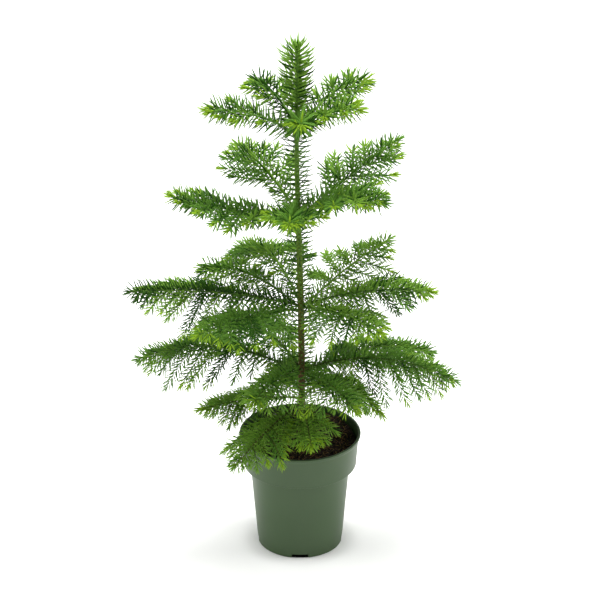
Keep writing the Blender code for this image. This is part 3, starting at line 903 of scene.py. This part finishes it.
for spine in spines:
    make_bough(spine, limb_bark)
for whorl in HABITS:
    make_twigs(whorl, limb_bark)
print("boughs", len(spines), "twig pieces", len(HABITS))

# %% [markdown]
# ## Needles
# The leaves are awl-shaped needles, four-sided and curved in towards the shoot, set in a close
# spiral. Each one is a small closed skin of sixteen faces. From one needle to the next the shoot
# turns three eighths of a circle, so the needles stand in eight straight rows. On side shoots
# they are combed out to both sides. Near a tip they are shorter, closer and yellow green.

# %% Needle finishes
NEEDLE_TONES = (  # name, colour, roughness
    ("needle_wax_tip", "#83a728", 0.5),
    ("needle_wax_light", "#739c38", 0.5),
    ("needle_wax_mid", "#5b8630", 0.5),
    # The deep tone colours deep shoots, and also the needles dealt it as painted shade.
    ("needle_wax_deep", "#2f5715", 0.5),
)
TIP, LIGHT, MID, DEEP = range(4)


def waxy_needle(name, colour, roughness):
    """A living needle: a smooth waxy skin over bright tissue, so it has a soft sheen and one even
    colour. The tones differ from shoot to shoot and not within a needle."""
    material, _, _ = new_material(name, colour, roughness, 0.08)
    return material


needle_wax = [waxy_needle(*row) for row in NEEDLE_TONES]
print("needle tones", len(needle_wax))

# %% Needle rule
LEAF_TURN = 2 * math.pi * 3 / 8
NEEDLE_PLACES = np.array([0.0, 0.14, 0.68, 1.0])
NEEDLE_GIRTH = np.array([0.0, 1.0, 0.86, 0.0])
NEEDLE_SIDES = 4


def lengths_of(paths):
    """Length of each path."""
    return np.linalg.norm(np.diff(paths, axis=1), axis=-1).sum(1)


def sample(paths, which, share):
    """Points at a share of the length of the chosen paths, between their stations."""
    place = np.clip(share, 0, 1) * (paths.shape[1] - 1)
    low = np.minimum(place.astype(int), paths.shape[1] - 2)
    part = (place - low)[:, None]
    return paths[which, low] * (1 - part) + paths[which, low + 1] * part


def needle_paths(feet, along, outward, length, first, last):
    """Needles whose direction turns evenly from the angle first to the angle last from the shoot:
    foot + length * (u * begin + u * u / 2 * (finish - begin)), for u from 0 to 1."""
    begin = np.cos(first)[:, None] * along + np.sin(first)[:, None] * outward
    finish = np.cos(last)[:, None] * along + np.sin(last)[:, None] * outward
    u = NEEDLE_PLACES[:, None]
    bend = u * begin[:, None] + u * u / 2 * (finish - begin)[:, None]
    return feet[:, None] + length[:, None, None] * bend


def grow_needles(paths, reference, growth, draw, radius):
    """Needles along many shoots, as closed skins. Returns points, faces, and for each needle its shoot
    and its distance to that shoot's tip."""
    run = lengths_of(paths)
    count = np.maximum((run * growth.density / MM).astype(int), 6)
    which = np.repeat(np.arange(len(paths)), count)
    order = np.arange(count.sum()) - np.repeat(np.cumsum(count) - count, count)
    share = (order + 0.5) / count[which]
    to_tip = (1 - share) * run[which]
    along_all, across_all, above_all = frames_along(paths, reference)
    feet = sample(paths, which, share)
    along = unit(sample(along_all, which, share))
    across = unit(sample(across_all, which, share))
    above = np.cross(along, across)
    start = draw.uniform(-0.25, 0.25, len(paths))
    turn = order * LEAF_TURN + start[which] + draw.normal(0, 0.08, len(order))
    outward = unit(np.cos(turn)[:, None] * across + growth.flat * np.sin(turn)[:, None] * above)
    youth = np.clip(to_tip / (growth.young * MM), 0, 1)
    youth = youth * youth * (3 - 2 * youth)
    shade = draw.normal(0, 0.05, len(order))
    first = np.radians(growth.open * (growth.fold + (1 - growth.fold) * youth)) + shade
    last = np.radians(growth.close * (growth.fold / 2 + (1 - growth.fold / 2) * youth)) + shade
    base_growth = np.clip(share * run[which] / (3 * MM), 0.55, 1.0)
    short = 0.4 + 0.5 * growth.fold
    length = growth.needle * MM * (short + (1 - short) * youth) * base_growth
    length = length * draw.uniform(0.86, 1.08, len(order))
    spots = feet + outward * radius * 0.5
    needles = needle_paths(spots, along, outward, length, first, last)
    line = unit(np.gradient(needles, axis=1))
    side = unit(np.cross(line, outward[:, None]))
    top = np.cross(side, line)
    half = growth.width * MM / 2 * NEEDLE_GIRTH * (0.8 + 0.2 * youth)[:, None]
    points, faces = skins(needles, side, top, half, half * 0.75, NEEDLE_SIDES)
    return points, faces, which, to_tip


print("faces per needle", len(skin_faces(len(NEEDLE_PLACES) - 2, NEEDLE_SIDES)))

# %% Needles on the boughs
Tones = namedtuple("Tones", "fresh shares older")
TONES = {  # the chance of a fresh tip, of light, mid and deep shoots, and of a needle dealt the deep tone as painted shade
    "whorl_1": Tones(1.0, (0.48, 0.37, 0.15), 0.22),
    "whorl_2": Tones(0.9, (0.38, 0.44, 0.18), 0.16),
    "whorl_3": Tones(0.6, (0.53, 0.37, 0.10), 0.08),
    "whorl_4": Tones(0.4, (0.52, 0.38, 0.10), 0.08),
    "whorl_5": Tones(0.5, (0.90, 0.10, 0.00), 0.02),
    "leader": Tones(0.0, (1.0, 0.0, 0.0), 0.16),
    "trunk": Tones(0.0, (0.0, 1.0, 0.0), 0.25),
}
TIP_RUN = 8.0 * MM


def deal_tones(tones, shoots, which, to_tip, draw):
    """Each needle takes its shoot's tone, or the deep tone where it is picked at random as painted shade
    between needles, or the tip tone on the last few millimetres of a shoot that is still growing."""
    shoot_tone = draw.choice((LIGHT, MID, DEEP), shoots, p=tones.shares)
    growing = draw.random(shoots) < tones.fresh
    near_tip = to_tip < TIP_RUN * draw.uniform(0.6, 1.4, len(which))
    # Painted shade: needles picked at random take the deep tone, standing in for the shade between
    # needles.
    older = draw.random(len(which)) < tones.older
    tone = np.where(older, DEEP, shoot_tone[which])
    return np.where(near_tip & growing[which], TIP, tone)


def join(parts):
    """Several (points, faces, slots) as one."""
    shift = np.cumsum([0] + [len(part[0]) for part in parts[:-1]])
    points = np.concatenate([part[0] for part in parts])
    faces = np.concatenate([part[1] + low for part, low in zip(parts, shift)])
    slots = np.concatenate([part[2] for part in parts])
    return points, faces, slots


def needle_part(paths, reference, growth, radius, tones, draw):
    """Needles on some shoots with a slot for every face."""
    points, faces, which, to_tip = grow_needles(paths, reference, growth, draw, radius)
    tone = deal_tones(tones, len(paths), which, to_tip, draw)
    return points, faces, np.repeat(tone, len(faces) // len(which))


def make_needles(spine, draw):
    """All needles of a bough: long ones on the bough itself, shorter ones on its side shoots."""
    habit = habit_of(spine)
    tones = TONES[spine.whorl]
    parts = [needle_part(main_shoot(spine, habit, habit.bare), UP, habit.main, LIMB_THIN, tones, draw),
             needle_part(side_paths[spine.name], UP, habit.side, TWIG_THIN, tones, draw)]
    points, faces, slots = join(parts)
    piece = add_piece(spine.name + "_sprays", points, faces, needle_wax, slots)
    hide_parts(spine.name + "_needles")
    return len(faces)


needle_faces = [make_needles(spine, bough_chance[spine.name]) for spine in spines]
print("bough needle faces", sum(needle_faces), "largest piece", max(needle_faces))

# %% Needles on the leader and the trunk
LEADER_LOW = float(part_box("leader_needles")[0].z)
LEADER_TOP = float(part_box("leader_needles")[1].z)
LEADER_NEEDLE = 25.0
STEM_NEEDLES_LOW = 0.185
STEM_STATIONS = 60
BUD_HEIGHT = 3 * MM


def make_stem_needles(name, low, high, growth, tones, draw):
    """Needles round a stretch of the trunk. The stem's own direction is up, so Y is the reference."""
    heights = np.linspace(low, high, STEM_STATIONS)
    points, faces, slots = needle_part(trunk_axis(heights)[None], np.array([0.0, 1.0, 0.0]), growth,
                                       float(trunk_radius(high)), tones, draw)
    piece = add_piece(name, points, faces, needle_wax, slots)
    return piece


LEADER_END = LEADER_TOP - LEADER_NEEDLE / 2 * MM
LEADER_GROWTH = Growth(LEADER_NEEDLE, 2.6, 2.05, 80.0, 40.0, 11.0, 0.70, 1.0)
BUD_GROWTH = Growth(14.0, 2.4, 9.0, 52.0, 6.0, 1.0, 1.0, 1.0)
STEM_GROWTH = Growth(20.0, 1.8, 1.5, 86.0, 58.0, 1.0, 0.5, 1.0)
leader = make_stem_needles("leader_sprays", LEADER_LOW, LEADER_END, LEADER_GROWTH, TONES["leader"], chance)
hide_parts("leader_needles")
make_stem_needles("leader_bud_needles", LEADER_END - BUD_HEIGHT, LEADER_END, BUD_GROWTH,
                  TONES["leader"], chance)
stem = make_stem_needles("stem_needles", STEM_NEEDLES_LOW, LEADER_LOW, STEM_GROWTH, TONES["trunk"], chance)
print("leader faces", len(leader.data.polygons), "stem faces", len(stem.data.polygons))

# %% [markdown]
# ## Litter
# Dead needles drop from the lowest whorl and dry to a tan brown on the soil.

# %% Fallen needles
FALLEN = 520


def dry_needle():
    """A dead needle: the wax has gone and the tissue has dried to a matt tan."""
    material, _, _ = new_material("dry_dead_needle", "#6f5433", 0.8, 0.2)
    return material


def make_litter(material):
    """Dead needles that lie on the soil every way round, a little proud of it."""
    spots, draw = scatter(FALLEN, 6, 0.93)
    turn = draw.uniform(0, 2 * math.pi, FALLEN)
    along = unit(np.stack([np.cos(turn), np.sin(turn), draw.uniform(-0.1, 0.2, FALLEN)], 1))
    length = draw.uniform(5, 11, FALLEN) * MM
    angle = draw.uniform(0.0, 0.15, FALLEN)
    spots = spots + UP * 0.7 * MM
    paths = needle_paths(spots, along, np.broadcast_to(UP, along.shape), length, angle, -angle)
    _, side, top = frames_along(paths, UP)
    points, faces = skins(paths, side, top, 0.35 * MM * NEEDLE_GIRTH, 0.25 * MM * NEEDLE_GIRTH,
                          NEEDLE_SIDES)
    return add_piece("fallen_needles", points, faces, [material])


litter = make_litter(dry_needle())
print("fallen needles", FALLEN)
